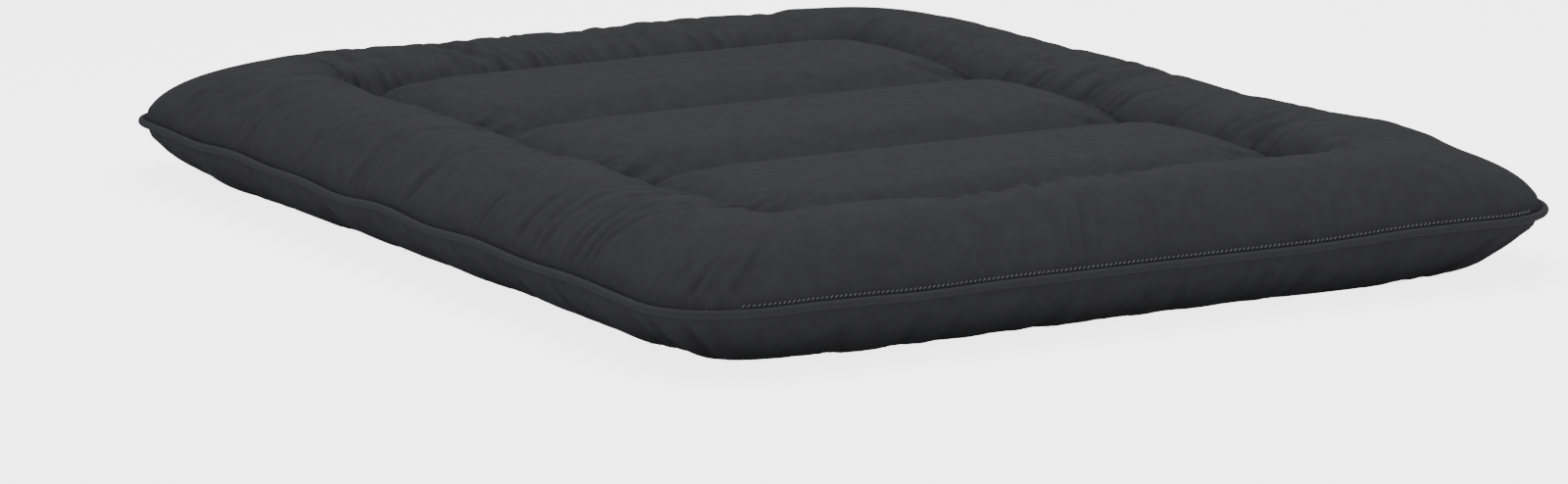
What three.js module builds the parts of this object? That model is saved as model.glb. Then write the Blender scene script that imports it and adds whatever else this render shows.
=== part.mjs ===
// A floor futon mattress, lying flat. A plump border roll runs all round a centre panel of three lofted
// bands. Top and bottom covers meet in a piped seam at mid height, cloth baffles hold the two covers
// together along every stitched crease, and wadding fills each chamber between the baffles.
// It folds in three like a letter Z, so every piece that crosses a fold line is made in lengths that
// belong to the foot, middle or head section.
// Millimetres. +Z up, +Y from the foot end to the head end, origin under the middle of the underside.
import * as THREE from "three";

// Overall sizes
const WIDTH = 1524; // over the piping
const LENGTH = 2032; // over the piping
const LOFT = 186; // floor to the crown of the border roll
const CORNER_RADIUS = 160; // of the piped outline
const SEAM_HEIGHT = 96; // floor to the middle of the piping

// Quilting
const BAFFLE_HEIGHT = 101.6; // cloth baffle, cover to cover, at every stitched crease
const BORDER_WIDTH = 307; // from the outline to the crease beside the border roll
const BAND_COUNT = 3; // lofted bands across the centre panel
const BAND_DROP = 7; // how far the bands' crowns lie below the border's
const STITCH_LAND = 12; // flat strip that the stitching holds down
const GROOVE_DEPTH = 8; // of the creases on the underside

// How far each rounded flank reaches before it levels out
const OUTER_REACH = 140;
const INNER_REACH = 110;
const BAND_REACH = 170;
const BELLY_REACH = 110;
const GROOVE_REACH = 45;

// Cloth, cord and thread
const PIPING_DIAMETER = 12;
const COVER_THICKNESS = 2;
const BAFFLE_THICKNESS = 1.5;
const THREAD_DIAMETER = 2.4;
const CLOSING_SEAM_LENGTH = 1200; // hand-closed stretch of the foot end's seam
const CLOSING_SEAM_RISE = 10; // above the middle of the piping

// Gaps
const CLEARANCE = 0.4; // between pieces that touch
const FOLD_GAP = 1; // between the sections' cut ends

// Sizes that follow from those above
const CREASE_HEIGHT = GROOVE_DEPTH + BAFFLE_HEIGHT;
const COVER_HALF_X = WIDTH / 2 - PIPING_DIAMETER - CLEARANCE;
const COVER_HALF_Y = LENGTH / 2 - PIPING_DIAMETER - CLEARANCE;
const COVER_CORNER = CORNER_RADIUS - PIPING_DIAMETER - CLEARANCE;
const CREASE_X = WIDTH / 2 - BORDER_WIDTH;
const CREASE_Y = LENGTH / 2 - BORDER_WIDTH;
const BAND_LENGTH = (2 * CREASE_Y) / BAND_COUNT;
const CROSS_Y = CREASE_Y - BAND_LENGTH; // the crease between the middle band and an end band
const FOLD_Y = LENGTH / 6; // the sections are thirds of the length
const LAND = STITCH_LAND / 2;
const FILL_INSET = COVER_THICKNESS + CLEARANCE;
const BESIDE_BAFFLE = BAFFLE_THICKNESS / 2 + CLEARANCE;
const CUT = FOLD_Y - FOLD_GAP / 2; // where the middle section ends
const CUT_OUT = FOLD_Y + FOLD_GAP / 2; // where an end section begins

// ---------------------------------------------------------------- materials

function cloth(name, colour, roughness) {
  return new THREE.MeshStandardMaterial({ name, color: colour, roughness, metalness: 0 });
}
const TICKING = cloth("ticking", 0x3d3d3f, 0.85);
const PIPING_CLOTH = cloth("piping_cloth", 0x3a3a3c, 0.8);
const WADDING = cloth("wadding", 0xece9e2, 0.95);
const BAFFLE_CLOTH = cloth("baffle_cloth", 0xd8d5ce, 0.9);
const THREAD = cloth("thread", 0x4a4a4d, 0.6);

// ---------------------------------------------------------------- the quilted surface

// Rises from 0 at t = 0, steeply at first, to 1 at t = 1 and beyond, as a quarter ellipse does.
function arch(t) {
  const left = 1 - Math.min(Math.max(t, 0), 1);
  return Math.sqrt(1 - left * left);
}

// Half the width of the cover's rounded outline at y, once it has been drawn in by inset.
function outlineHalfWidth(y, inset) {
  const radius = COVER_CORNER - inset;
  const over = Math.abs(y) - (COVER_HALF_Y - inset - radius);
  const straight = COVER_HALF_X - inset;
  return over <= 0 ? straight : straight - radius + Math.sqrt(Math.max(radius * radius - over * over, 0));
}

// Distance inwards from that outline.
function edgeDistance(x, y, inset) {
  const radius = COVER_CORNER - inset;
  const qx = Math.abs(x) - (COVER_HALF_X - inset - radius);
  const qy = Math.abs(y) - (COVER_HALF_Y - inset - radius);
  return radius - Math.hypot(Math.max(qx, 0), Math.max(qy, 0)) - Math.min(Math.max(qx, qy), 0);
}

// Distance from the crease round the centre panel: above 0 under the border roll, below 0 in the panel.
function borderDistance(x, y) {
  return Math.max(Math.abs(x) - CREASE_X, Math.abs(y) - CREASE_Y);
}

// Distance from the nearest crease that runs across a band's end, for a point of the centre panel.
function bandDistance(y) {
  return Math.min(CREASE_Y - Math.abs(y), Math.abs(Math.abs(y) - CROSS_Y));
}

function topHeight(x, y, inset) {
  const crease = CREASE_HEIGHT - inset;
  const out = borderDistance(x, y);
  if (out < 0) {
    const rise = arch((CREASE_X - Math.abs(x) - LAND) / BAND_REACH) * arch((bandDistance(y) - LAND) / BAND_REACH);
    return crease + (LOFT - BAND_DROP - CREASE_HEIGHT) * rise;
  }
  const rim = SEAM_HEIGHT + CLEARANCE / 2;
  const outer = rim + (LOFT - inset - rim) * arch(edgeDistance(x, y, inset) / OUTER_REACH);
  const inner = crease + (LOFT - CREASE_HEIGHT) * arch((out - LAND) / INNER_REACH);
  return Math.min(outer, inner);
}

function undersideHeight(x, y, inset) {
  const out = borderDistance(x, y);
  const toCrease = out < 0 ? Math.min(-out, bandDistance(y)) : out;
  const groove = inset + GROOVE_DEPTH * (1 - arch((toCrease - LAND) / GROOVE_REACH));
  const rim = SEAM_HEIGHT - CLEARANCE / 2;
  const belly = rim - (rim - inset) * arch(edgeDistance(x, y, inset) / BELLY_REACH);
  return Math.max(groove, belly);
}

// Keeps a line where it is inside the creases, and shares out those beyond over a drawn-in border.
function drawIn(line, edge, half, drawnHalf) {
  const beyond = Math.abs(line) - edge;
  return beyond <= 0 ? line : Math.sign(line) * (edge + (beyond * (drawnHalf - edge)) / (half - edge));
}

function surfacePoint(lineX, lineY, inset, height) {
  const y = drawIn(lineY, CREASE_Y + LAND, COVER_HALF_Y, COVER_HALF_Y - inset);
  const x = drawIn(lineX, CREASE_X + LAND, COVER_HALF_X, outlineHalfWidth(y, inset));
  return new THREE.Vector3(x, y, height(x, y, inset));
}

// ---------------------------------------------------------------- solids between two surfaces

// Shares of the border's width, from its crease to the outline, where the surface gets a line.
const BORDER_SHARES = [0.15, 0.4, 0.65, 0.85, 0.96, 1];
const BESIDE_CREASE = 30; // the line that shapes a band's steep flank

function borderLines(crease, half) {
  return BORDER_SHARES.map((share) => crease + LAND + share * (half - crease - LAND));
}

function mirrored(lines) {
  return [...lines.map((line) => -line), ...lines];
}

const X_LINES = mirrored([
  0,
  0.62 * CREASE_X,
  CREASE_X - LAND - BESIDE_CREASE,
  CREASE_X - LAND,
  CREASE_X + LAND,
  ...borderLines(CREASE_X, COVER_HALF_X),
]);
const Y_LINES = mirrored([
  0,
  CROSS_Y - LAND - 3 * BESIDE_CREASE,
  CROSS_Y - LAND - BESIDE_CREASE,
  CROSS_Y - LAND,
  CROSS_Y + LAND,
  CROSS_Y + LAND + BESIDE_CREASE,
  CREASE_Y - BAND_LENGTH / 2,
  CREASE_Y - LAND - 3 * BESIDE_CREASE,
  CREASE_Y - LAND - BESIDE_CREASE,
  CREASE_Y - LAND,
  CREASE_Y + LAND,
  ...borderLines(CREASE_Y, COVER_HALF_Y),
]);

// The lines from low to high, with both ends as lines of their own.
function linesBetween(lines, low, high) {
  const apart = 2; // a line nearer than this to an end gives way to it
  const inside = lines.filter((line) => line > low + apart && line < high - apart);
  return [...new Set([low, ...inside.sort((a, b) => a - b), high])];
}

// A closed solid on a grid of lines, with one surface above, one below and walls round the four sides.
function gridSolid(xLines, yLines, upper, lower) {
  const columns = xLines.length;
  const rows = yLines.length;
  const points = [];
  for (const surface of [upper, lower]) {
    for (const y of yLines) {
      for (const x of xLines) points.push(...surface(x, y).toArray());
    }
  }
  const top = (i, j) => j * columns + i;
  const bottom = (i, j) => columns * rows + top(i, j);
  const faces = [];
  const quad = (a, b, c, d) => faces.push(a, b, c, a, c, d);
  for (let j = 0; j + 1 < rows; j++) {
    for (let i = 0; i + 1 < columns; i++) {
      quad(top(i, j), top(i + 1, j), top(i + 1, j + 1), top(i, j + 1));
      quad(bottom(i, j), bottom(i, j + 1), bottom(i + 1, j + 1), bottom(i + 1, j));
    }
    const last = columns - 1;
    quad(top(0, j), top(0, j + 1), bottom(0, j + 1), bottom(0, j));
    quad(top(last, j + 1), top(last, j), bottom(last, j), bottom(last, j + 1));
  }
  for (let i = 0; i + 1 < columns; i++) {
    const last = rows - 1;
    quad(top(i + 1, 0), top(i, 0), bottom(i, 0), bottom(i + 1, 0));
    quad(top(i, last), top(i + 1, last), bottom(i + 1, last), bottom(i, last));
  }
  const geometry = new THREE.BufferGeometry();
  geometry.setAttribute("position", new THREE.Float32BufferAttribute(points, 3));
  geometry.setIndex(faces);
  geometry.computeVertexNormals();
  return geometry;
}

function region(x0, x1, y0, y1, upper, lower) {
  return gridSolid(linesBetween(X_LINES, x0, x1), linesBetween(Y_LINES, y0, y1), upper, lower);
}

function topCover(y0, y1) {
  const outside = (x, y) => surfacePoint(x, y, 0, topHeight);
  const inside = (x, y) => surfacePoint(x, y, COVER_THICKNESS, topHeight);
  return region(-COVER_HALF_X, COVER_HALF_X, y0, y1, outside, inside);
}

function bottomCover(y0, y1) {
  const inside = (x, y) => surfacePoint(x, y, COVER_THICKNESS, undersideHeight);
  const outside = (x, y) => surfacePoint(x, y, 0, undersideHeight);
  return region(-COVER_HALF_X, COVER_HALF_X, y0, y1, inside, outside);
}

function filling(x0, x1, y0, y1) {
  const upper = (x, y) => surfacePoint(x, y, FILL_INSET, topHeight);
  const lower = (x, y) => surfacePoint(x, y, FILL_INSET, undersideHeight);
  return region(x0, x1, y0, y1, upper, lower);
}

// ---------------------------------------------------------------- piping, baffles and thread

const PIPING_BEVEL = 0.3 * PIPING_DIAMETER; // rounds the cord's section

// A flat outline made into a length of round-edged cord, centred on the seam's height.
function cord(shape) {
  const geometry = new THREE.ExtrudeGeometry(shape, {
    depth: PIPING_DIAMETER - 2 * PIPING_BEVEL,
    bevelThickness: PIPING_BEVEL,
    bevelSize: PIPING_BEVEL,
    bevelSegments: 2,
    curveSegments: 14,
  });
  return geometry.translate(0, 0, SEAM_HEIGHT - PIPING_DIAMETER / 2 + PIPING_BEVEL);
}

// The piping round one end, from fold line to fold line. Drawn for the foot end.
function endPiping() {
  const outer = CORNER_RADIUS - PIPING_BEVEL;
  const inner = CORNER_RADIUS - PIPING_DIAMETER + PIPING_BEVEL;
  const cx = WIDTH / 2 - CORNER_RADIUS;
  const cy = -(LENGTH / 2 - CORNER_RADIUS);
  const end = -(CUT_OUT + PIPING_BEVEL);
  const shape = new THREE.Shape();
  shape.moveTo(-cx - outer, end);
  shape.lineTo(-cx - outer, cy);
  shape.absarc(-cx, cy, outer, Math.PI, 1.5 * Math.PI, false);
  shape.absarc(cx, cy, outer, 1.5 * Math.PI, 2 * Math.PI, false);
  shape.lineTo(cx + outer, end);
  shape.lineTo(cx + inner, end);
  shape.absarc(cx, cy, inner, 0, -0.5 * Math.PI, true);
  shape.absarc(-cx, cy, inner, -0.5 * Math.PI, -Math.PI, true);
  shape.lineTo(-cx - inner, end);
  return cord(shape);
}

// The straight length of piping beside the middle section.
function sidePiping(side) {
  const half = PIPING_DIAMETER / 2 - PIPING_BEVEL;
  const middle = side * (WIDTH / 2 - PIPING_DIAMETER / 2);
  const end = CUT - PIPING_BEVEL;
  const shape = new THREE.Shape();
  shape.moveTo(middle - half, -end);
  shape.lineTo(middle + half, -end);
  shape.lineTo(middle + half, end);
  shape.lineTo(middle - half, end);
  return cord(shape);
}

function baffle(x0, x1, y0, y1) {
  const bottom = GROOVE_DEPTH + FILL_INSET;
  const top = CREASE_HEIGHT - FILL_INSET;
  const geometry = new THREE.BoxGeometry(x1 - x0, y1 - y0, top - bottom);
  return geometry.translate((x0 + x1) / 2, (y0 + y1) / 2, (top + bottom) / 2);
}

function baffleAlongX(x0, x1, y) {
  return baffle(x0, x1, y - BAFFLE_THICKNESS / 2, y + BAFFLE_THICKNESS / 2);
}

function baffleAlongY(x, y0, y1) {
  return baffle(x - BAFFLE_THICKNESS / 2, x + BAFFLE_THICKNESS / 2, y0, y1);
}

const THREAD_HEIGHT = CREASE_HEIGHT + CLEARANCE + THREAD_DIAMETER / 2;

// A straight run of thread between two points at one height.
function thread(x0, y0, x1, y1, z = THREAD_HEIGHT) {
  const radius = THREAD_DIAMETER / 2;
  const length = Math.hypot(x1 - x0, y1 - y0);
  const geometry = new THREE.CylinderGeometry(radius, radius, length, 8);
  geometry.rotateZ(Math.atan2(y1 - y0, x1 - x0) - Math.PI / 2);
  return geometry.translate((x0 + x1) / 2, (y0 + y1) / 2, z);
}

// ---------------------------------------------------------------- assembly

const futon = new THREE.Group();

function add(name, material, geometry) {
  const mesh = new THREE.Mesh(geometry, material);
  mesh.name = name;
  futon.add(mesh);
  return mesh;
}

const panelX = CREASE_X - BESIDE_BAFFLE; // the bands' filling ends here, beside the baffle
const borderX = CREASE_X + BESIDE_BAFFLE;
const panelY = CREASE_Y - BESIDE_BAFFLE;
const borderY = CREASE_Y + BESIDE_BAFFLE;
const borderCut = borderY - CLEARANCE; // the side rolls stop here, clear of the end roll
const threadInset = THREAD_DIAMETER / 2 + CLEARANCE; // keeps runs of thread apart where they meet
const SIDES = [
  ["left", -1],
  ["right", 1],
];

// A side piece's two x limits in rising order.
function sideSpan(side, near, far) {
  return side < 0 ? [-far, -near] : [near, far];
}

for (const [end, way] of [
  ["foot", -1],
  ["head", 1],
]) {
  const span = (near, far) => (way < 0 ? [-far, -near] : [near, far]);
  add(`top_cover_${end}`, TICKING, topCover(...span(CUT_OUT, COVER_HALF_Y)));
  add(`bottom_cover_${end}`, TICKING, bottomCover(...span(CUT_OUT, COVER_HALF_Y)));
  const piping = add(`piping_${end}`, PIPING_CLOTH, endPiping());
  piping.rotation.z = way < 0 ? 0 : Math.PI;

  const endRoll = filling(-COVER_HALF_X, COVER_HALF_X, ...span(borderY, COVER_HALF_Y));
  add(`border_fill_${end}`, WADDING, endRoll);
  add(`band_fill_${end}`, WADDING, filling(-panelX, panelX, ...span(CUT_OUT, panelY)));
  add(`baffle_${end}`, BAFFLE_CLOTH, baffleAlongX(-panelX, panelX, way * CREASE_Y));
  add(`stitching_${end}`, THREAD, thread(-CREASE_X, way * CREASE_Y, CREASE_X, way * CREASE_Y));

  for (const [hand, side] of SIDES) {
    const roll = filling(...sideSpan(side, borderX, COVER_HALF_X), ...span(CUT_OUT, borderCut));
    add(`border_fill_${hand}_${end}`, WADDING, roll);
    const wall = baffleAlongY(side * CREASE_X, ...span(CUT_OUT, borderCut));
    add(`baffle_${hand}_${end}`, BAFFLE_CLOTH, wall);
    const [y0, y1] = span(CUT_OUT, CREASE_Y - threadInset);
    add(`stitching_${hand}_${end}`, THREAD, thread(side * CREASE_X, y0, side * CREASE_X, y1));
  }

  // The part of an end band that lies on the middle section, and the crease beyond it.
  const inner = filling(-panelX, panelX, ...span(CROSS_Y + BESIDE_BAFFLE, CUT));
  add(`band_fill_${end}_inner`, WADDING, inner);
  add(`baffle_cross_${end}`, BAFFLE_CLOTH, baffleAlongX(-panelX, panelX, way * CROSS_Y));
  const run = CREASE_X - threadInset;
  add(`stitching_cross_${end}`, THREAD, thread(-run, way * CROSS_Y, run, way * CROSS_Y));
}

add("top_cover_middle", TICKING, topCover(-CUT, CUT));
add("bottom_cover_middle", TICKING, bottomCover(-CUT, CUT));
const middleBand = CROSS_Y - BESIDE_BAFFLE;
add("band_fill_middle", WADDING, filling(-panelX, panelX, -middleBand, middleBand));
for (const [hand, side] of SIDES) {
  add(`piping_${hand}`, PIPING_CLOTH, sidePiping(side));
  const roll = filling(...sideSpan(side, borderX, COVER_HALF_X), -CUT, CUT);
  add(`border_fill_${hand}_middle`, WADDING, roll);
  add(`baffle_${hand}_middle`, BAFFLE_CLOTH, baffleAlongY(side * CREASE_X, -CUT, CUT));
  add(`stitching_${hand}_middle`, THREAD, thread(side * CREASE_X, -CUT, side * CREASE_X, CUT));
}

// The stretch of the foot end's seam that was sewn up after filling, just above the piping.
const closingY = -(COVER_HALF_Y + CLEARANCE + THREAD_DIAMETER / 2);
const closingZ = SEAM_HEIGHT + CLOSING_SEAM_RISE;
const closingEnd = CLOSING_SEAM_LENGTH / 2;
add("closing_seam", THREAD, thread(-closingEnd, closingY, closingEnd, closingY, closingZ));

export default futon;
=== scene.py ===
"""A floor futon mattress: quilted covers over wadding and cloth baffles, with a piped seam at mid height.

It lies flat and folds in three like a letter Z. Cloth that crosses a fold line is made as a foot half and a
head half.
"""

import math

import bpy
import numpy as np
from bpy.props import FloatProperty, FloatVectorProperty, IntProperty, PointerProperty, StringProperty
from mathutils import Matrix, Vector


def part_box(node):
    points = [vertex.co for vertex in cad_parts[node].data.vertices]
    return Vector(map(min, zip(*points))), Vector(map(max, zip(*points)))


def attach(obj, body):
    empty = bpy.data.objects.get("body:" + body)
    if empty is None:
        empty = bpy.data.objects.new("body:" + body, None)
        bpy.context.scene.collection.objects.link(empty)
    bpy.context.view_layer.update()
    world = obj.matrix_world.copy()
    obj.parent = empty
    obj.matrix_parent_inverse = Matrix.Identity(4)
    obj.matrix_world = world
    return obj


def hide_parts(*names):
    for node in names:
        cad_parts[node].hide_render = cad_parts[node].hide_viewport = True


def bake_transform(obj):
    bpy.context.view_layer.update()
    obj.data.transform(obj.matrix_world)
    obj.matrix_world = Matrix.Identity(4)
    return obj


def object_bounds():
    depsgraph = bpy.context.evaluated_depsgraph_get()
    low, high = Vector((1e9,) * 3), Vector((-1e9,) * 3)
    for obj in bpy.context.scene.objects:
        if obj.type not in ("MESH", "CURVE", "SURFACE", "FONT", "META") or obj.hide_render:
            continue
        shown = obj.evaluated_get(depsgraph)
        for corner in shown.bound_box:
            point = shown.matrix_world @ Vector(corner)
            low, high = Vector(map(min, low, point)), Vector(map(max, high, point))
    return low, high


bl_info = {
    "name": "Quilted Floor Futon",
    "version": (1, 0, 0),
    "blender": (4, 5, 0),
    "location": "View3D > Sidebar > Futon",
    "description": "Covers, filling, baffles, piping and stitching of a floor futon mattress",
    "category": "Add Mesh",
}

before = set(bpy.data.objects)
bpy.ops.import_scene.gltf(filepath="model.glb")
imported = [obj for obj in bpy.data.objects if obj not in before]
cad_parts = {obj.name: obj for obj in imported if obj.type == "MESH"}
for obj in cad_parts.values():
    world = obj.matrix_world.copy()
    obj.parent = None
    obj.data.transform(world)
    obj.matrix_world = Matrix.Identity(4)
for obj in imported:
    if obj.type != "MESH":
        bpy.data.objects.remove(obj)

# ---------------------------------------------------------------- places, from the frame

CAD_LOW, CAD_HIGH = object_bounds()


def middle(node):
    """The middle of a node's box."""
    low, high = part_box(node)
    return (low + high) / 2


CROWN = CAD_HIGH.z  # the border roll's crown
PIPING_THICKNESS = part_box("piping_right")[1].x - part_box("piping_right")[0].x
OUT_X = CAD_HIGH.x - PIPING_THICKNESS  # the covers' outline, just inside the piping
OUT_Y = CAD_HIGH.y - PIPING_THICKNESS
SEAM_Z = middle("piping_right").z
CREASE_X = middle("stitching_right_middle").x
CREASE_Y = middle("stitching_head").y
CROSS_Y = middle("stitching_cross_head").y
CREASE_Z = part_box("stitching_head")[0].z
BORDER = OUT_X - CREASE_X
BAND = CREASE_Y - CROSS_Y

# Shapes of the stuffed cloth, in metres
CORNER_RADIUS = 0.148  # of the covers' outline
OUTER_REACH = 0.140  # the roll's outer flank, from the piping to its level crown
CORNER_REACH = 0.060  # how much further that flank reaches on a corner's diagonal
INNER_REACH = 0.072  # the roll's inner flank, from the crease to its level crown
BAND_REACH = 0.130  # a band's flank, from a crease that runs across to its level top
BAND_END_REACH = 0.075  # the same at its ends
CROWN_DROP = 0.014  # how far below the frame's crown the roll is before it is blown up
CROWN_WAVER = 0.0035
FOOT_PUFF = 0.012  # the foot end is stuffed this much fuller
LEFT_PUFF = 0.009  # and the left side this much
BAND_DROP = 0.007  # the bands lie this much below the roll
BELLY_REACH = 0.115  # the underside's flank, from the piping to the floor
GROOVE_REACH = 0.050
GROOVE_DEPTH = 0.009  # the creases on the underside
PIT_DEPTH = 0.034  # where creases meet
PIT_REACH = 0.060
CREASE_BOW = 0.024  # how far the side creases bow outwards between the pits, where the bands' ends bulge
CREASE_RISE = 0.014  # how far they rise there
CREASE_RISE_REACH = 0.2
BESIDE_CREASE = 0.10  # how far the cloth beside a side crease follows its bow
SEAM_SAG = 0.003  # the piping hangs this far below its place in the frame
SEAM_WAVER = 0.0034
FOOT_SLANT = 0.38  # how far the foot end's gathers lean sideways
FOOT_CALM = 0.3  # how much shallower they are
CORNER_RUN = 0.36  # length along the border that a corner counts for
START_DEPTH = 0.6  # share of the gathers' depth that the simulation starts from
UNDERSIDE_COARSER = 1.3
CREASE_GRID = 0.010  # spacing of the points along a row of stitches
PIPING_GRID = 0.008
PIPING_TUCK = 0.0008  # the piping is sewn in this deep
PIPING_SIDES = 14
PIPING_PAINTED_HIGHLIGHT = 1.06  # painted highlight: the piping is coloured this much paler than the ticking, for the light its round rib catches from above
BAFFLE_THICKNESS = 0.0015
BAFFLE_GRID = 0.010
BAFFLE_ROWS = 9
BAFFLE_RUFFLE = 0.003
SEWN_ROOM = 0.004  # a baffle stays this far from what it is sewn to
THINNEST_WADDING = 0.004
CLOSING_EXTRA = 0.07  # the closing stitches run this far on round each corner
CLOSING_OUT = 0.0012  # and stand this far out from the cloth
CLOSING_SLANT = 0.9
FAR_AWAY = 9.0  # stands for a distance from a seam that gathers nothing here
ROUNDING = 1e-6

# The studio
FLOOR_Z = -0.001  # the floor lies just clear of the cloth
FLOOR_HALF = 40.0
PAPER_SEEN = 3.4  # how brightly the paper glows for the camera
PAPER_BOUNCE = 0.13  # and for the cloth
SOFTBOXES = (  # name, place, width, depth and share of the light
    ("overhead", (-0.1, -0.3, 3.3), 3.0, 3.0, 1.0),
    ("window", (4.5, 3.5, 2.6), 3.0, 2.0, 0.44),
)
SENSOR_WIDTH = 36.0
FARTHEST_SEEN = 200.0

SIDES = (("left", -1), ("right", 1))
ENDS = (("foot", -1), ("head", 1))


# ---------------------------------------------------------------- settings


def metres(name, description, default):
    return FloatProperty(name=name, description=description, default=default, unit="LENGTH")


def angle(name, description, degrees):
    return FloatProperty(name=name, description=description, default=math.radians(degrees), subtype="ANGLE")


def hex_colour(name, what, default):
    return StringProperty(name=name, description=f"{what}, as an sRGB hex value", default=default)


class FutonCover(bpy.types.PropertyGroup):
    grid: metres("Grid", "Mesh spacing before smoothing", 0.0072)
    furrow_depth: metres("Furrow depth", "Depth of the deepest gathers", 0.0100)
    pressure: FloatProperty(name="Pressure", description="Push of the wadding on the cloth", default=1.6)
    frames: IntProperty(name="Frames", description="Length of the cloth simulation", default=16)
    most_moved: metres("Most moved", "Furthest that the simulation may move a point", 0.012)
    colour: hex_colour("Colour", "Ticking", "#3A3A3C")


class FutonFilling(bpy.types.PropertyGroup):
    grid: metres("Grid", "Mesh spacing", 0.014)
    inset: metres("Inset", "Room between the cloth and the wadding", 0.017)
    lumps: metres("Lumps", "Unevenness of the wadding", 0.002)
    colour: hex_colour("Colour", "Wadding", "#ECE9E2")
    baffle_colour: hex_colour("Baffle colour", "Calico", "#D8D5CE")


class FutonThread(bpy.types.PropertyGroup):
    spacing: metres("Spacing", "From stitch to stitch", 0.0062)
    length: metres("Length", "Of one stitch", 0.0050)
    diameter: metres("Diameter", "Of the thread", 0.0016)
    closing_spacing: metres("Closing spacing", "From stitch to stitch of the closing seam", 0.0075)
    closing_length: metres("Closing length", "Of one of its stitches", 0.0062)
    colour: hex_colour("Colour", "Thread", "#48484C")
    closing_colour: hex_colour("Closing colour", "Thread of the closing seam", "#77777B")


class FutonStudio(bpy.types.PropertyGroup):
    camera: FloatVectorProperty(
        name="Camera",
        description="Where the camera stands",
        default=(-5.054, -9.1225, 1.9835),
        subtype="TRANSLATION",
    )
    yaw: angle("Yaw", "Heading, from +X", 61.148)
    pitch: angle("Pitch", "Above the horizon", -11.005)
    roll: angle("Roll", "About the view axis", -0.698)
    lens: FloatProperty(name="Lens", description="Focal length", default=155.45, unit="CAMERA")
    shift: FloatVectorProperty(
        name="Shift", description="Framing, sideways and up", default=(-0.0094, 0.0035), size=2
    )
    light: FloatProperty(name="Light", description="Power of the overhead light", default=84.0, unit="POWER")
    air: FloatProperty(name="Air", description="Brightness of the light from all round", default=0.62)


# ---------------------------------------------------------------- small helpers


def arch(t):
    """Rises steeply from 0 at t = 0 to 1 at t = 1 and beyond, as a quarter ellipse does."""
    left = 1 - np.clip(t, 0, 1)
    return np.sqrt(1 - left * left)


def bump(t):
    """Falls smoothly from 1 at t = 0 to nothing by about t = 2."""
    return np.exp(-t * t)


def wander(place, span, slowest, fastest, seed):
    """A smooth, repeatable wander, mostly between -1 and 1, of several waves in each span."""
    rng = np.random.default_rng(seed)
    waves = range(slowest, fastest + 1)
    total = sum(np.sin(2 * np.pi * n * place / span + rng.uniform(0, 2 * np.pi)) for n in waves)
    return total / math.sqrt(2 * len(waves))


def even(count):
    """The nearest even whole number, and at least 2."""
    return max(2, 2 * round(count / 2))


def linear(value):
    """An sRGB hex value as a linear colour."""
    parts = [int(value[i : i + 2], 16) / 255 for i in (1, 3, 5)]
    return tuple(c / 12.92 if c <= 0.04045 else ((c + 0.055) / 1.055) ** 2.4 for c in parts) + (1.0,)


# ---------------------------------------------------------------- the quilted grid


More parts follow.
